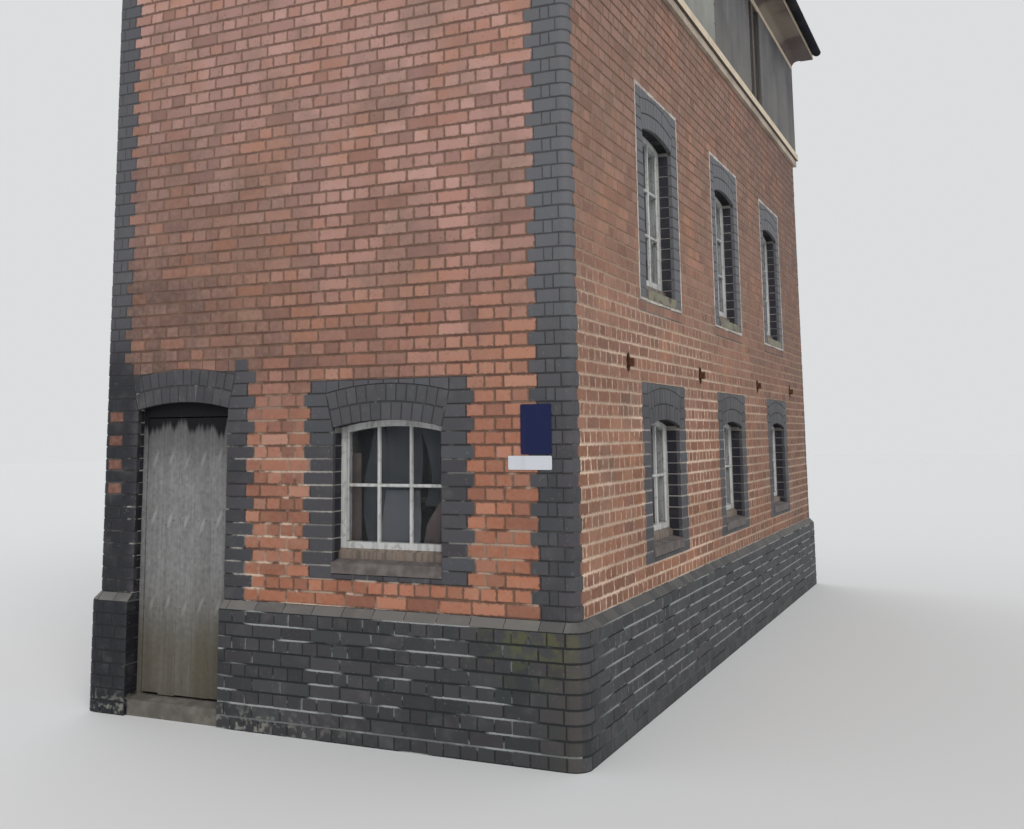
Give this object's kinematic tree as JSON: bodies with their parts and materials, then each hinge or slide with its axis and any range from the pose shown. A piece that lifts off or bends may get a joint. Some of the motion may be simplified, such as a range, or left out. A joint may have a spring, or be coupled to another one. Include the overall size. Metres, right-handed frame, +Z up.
{
  "type": "railway signal box",
  "caption": "Tall narrow railway signal box: blue and red brick storeys with arched windows and a hinged end door, under a timber operating storey and a gabled slate roof.",
  "frame": {"origin": "centre of the base, on the lowest ground round the building", "axes": "+Z up, the long track side faces -Y, the end with the door faces -X"},
  "size_m": [9.204, 4.7006, 8.733],
  "materials": {
    "blue_brick": "matt engineering brick",
    "red_brick": "matt weathered brick",
    "sill_stone": "matt",
    "threshold_stone": "matt",
    "weathered_wood": "silvered and stained",
    "frame_paint": "flaking white paint",
    "cream_paint": "aged cream paint",
    "grey_sheet": "weathered grey sheet",
    "floor_wood": "bare boards",
    "floor_brick": "worn paving",
    "glass": "dusty",
    "iron": "rusted",
    "slate": "matt slate",
    "gutter_paint": "black paint",
    "ridge_clay": "blue-grey clay"
  },
  "bodies": {
    "building": {"plinth_track_side": "blue_brick", "plinth_rear": "blue_brick", "plinth_door_end": "blue_brick", "plinth_far_end": "blue_brick", "wall_track_side": "red_brick", "wall_rear": "red_brick", "wall_far_end": "red_brick", "wall_door_end": "red_brick", "wall_over_door": "red_brick", "door_arch": "blue_brick", "track_window_arches": "blue_brick", "rear_window_arches": "blue_brick", "end_window_arches": "blue_brick", "window_sills": "sill_stone", "track_window_frames": "frame_paint", "rear_window_frames": "frame_paint", "end_window_frames": "frame_paint", "track_glass": "glass", "rear_glass": "glass", "end_glass": "glass", "threshold": "threshold_stone", "door_frame": "weathered_wood", "door_pins": "iron", "ground_floor": "floor_brick", "upper_floor": "floor_wood", "operating_floor": "floor_wood", "iron_stubs": "iron", "sill_band_sides": "cream_paint", "sill_band_ends": "cream_paint", "storey_posts": "weathered_wood", "track_sheets": "grey_sheet", "rear_sheets": "grey_sheet", "end_sheets": "grey_sheet", "wall_plates": "weathered_wood", "gables": "cream_paint", "eaves_boxes": "cream_paint", "gutters": "gutter_paint", "roof_track_side": "slate", "roof_rear": "slate", "ridge_tiles": "ridge_clay", "barge_boards": "cream_paint"},
    "door": {"door_boards": "weathered_wood", "door_ledges": "weathered_wood", "door_straps": "iron"}
  },
  "joints": [
    {"name": "door_hinge", "type": "hinge", "parent": "building", "child": "door", "pos_m": [-4.356, 1.52, 1.3185], "axis": [0, 0, 1], "range_deg": [0, 90]}
  ]
}
